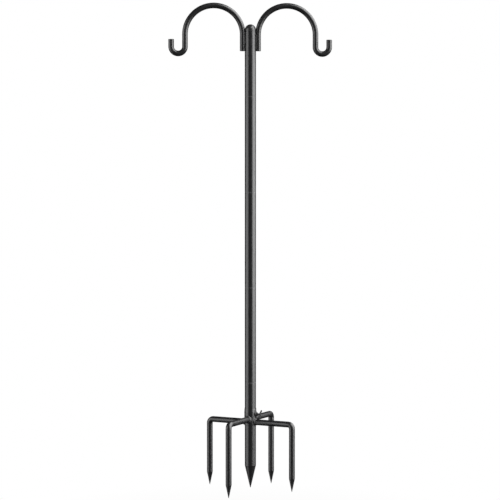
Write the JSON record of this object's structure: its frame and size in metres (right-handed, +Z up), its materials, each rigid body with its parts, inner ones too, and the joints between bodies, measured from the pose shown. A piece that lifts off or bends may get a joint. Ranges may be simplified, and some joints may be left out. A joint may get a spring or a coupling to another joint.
{
  "type": "double shepherd's hook",
  "caption": "Free-standing black garden hook: a sectional pole with a bent hook arm on each side and a clamp-on base of pointed prongs, for hanging feeders and baskets.",
  "frame": {"origin": "on the pole's axis at the ground line, which is the underside of the prong collar", "axes": "+Z up along the pole, +X along the right arm, -Y towards the viewer of the picture"},
  "size_m": [0.5536, 0.2896, 1.6563],
  "materials": {
    "powder_coat": "semi-gloss black powder coat on steel",
    "weld_metal": "powder-coated weld beads",
    "cap_plastic": "semi-gloss black moulded plastic",
    "black_hardware": "blackened zinc-plated steel"
  },
  "bodies": {
    "ground": {"ground_tube": "powder_coat", "spike_point": "powder_coat"},
    "prong_base": {"prong_collar": "powder_coat", "right_prong": "powder_coat", "back_prong": "powder_coat", "left_prong": "powder_coat", "front_prong": "powder_coat", "prong_welds": "weld_metal", "clamp_nut": "black_hardware", "nut_weld": "weld_metal"},
    "clamp_stud": {"screw_stud": "black_hardware"},
    "clamp_wings": {"screw_wings": "black_hardware"},
    "lower_section": {"lower_tube": "powder_coat"},
    "middle_section": {"middle_tube": "powder_coat"},
    "upper_section": {"upper_tube": "powder_coat"},
    "head": {"head_tube": "powder_coat", "pole_cap": "cap_plastic", "right_arm": "powder_coat", "left_arm": "powder_coat", "right_arm_welds": "weld_metal", "left_arm_welds": "weld_metal"}
  },
  "joints": [
    {"name": "base_height", "type": "slide", "parent": "ground", "child": "prong_base", "axis": [0, 0, 1], "range_m": [-0.13, 0.085]},
    {"name": "clamp_screw_feed", "type": "slide", "parent": "prong_base", "child": "clamp_stud", "axis": [0.8554, -0.518, 0], "range_m": [0, 0.00403]},
    {"name": "clamp_screw_turn", "type": "hinge", "parent": "clamp_stud", "child": "clamp_wings", "pos_m": [0.02831, -0.01715, 0.0388], "axis": [0.8554, -0.518, 0], "range_deg": [0, 1440]},
    {"name": "lower_section_lift", "type": "slide", "parent": "ground", "child": "lower_section", "axis": [0, 0, 1], "range_m": [0, 0.04]},
    {"name": "middle_section_lift", "type": "slide", "parent": "lower_section", "child": "middle_section", "axis": [0, 0, 1], "range_m": [0, 0.04]},
    {"name": "upper_section_lift", "type": "slide", "parent": "middle_section", "child": "upper_section", "axis": [0, 0, 1], "range_m": [0, 0.04]},
    {"name": "head_swivel", "type": "hinge", "parent": "upper_section", "child": "head", "pos_m": [0, 0, 1.1161], "axis": [0, 0, 1], "continuous": true}
  ],
  "couplings": [
    {"joint": "clamp_screw_feed", "follows": "clamp_screw_turn", "m_per_rad": 0.00015915}
  ]
}
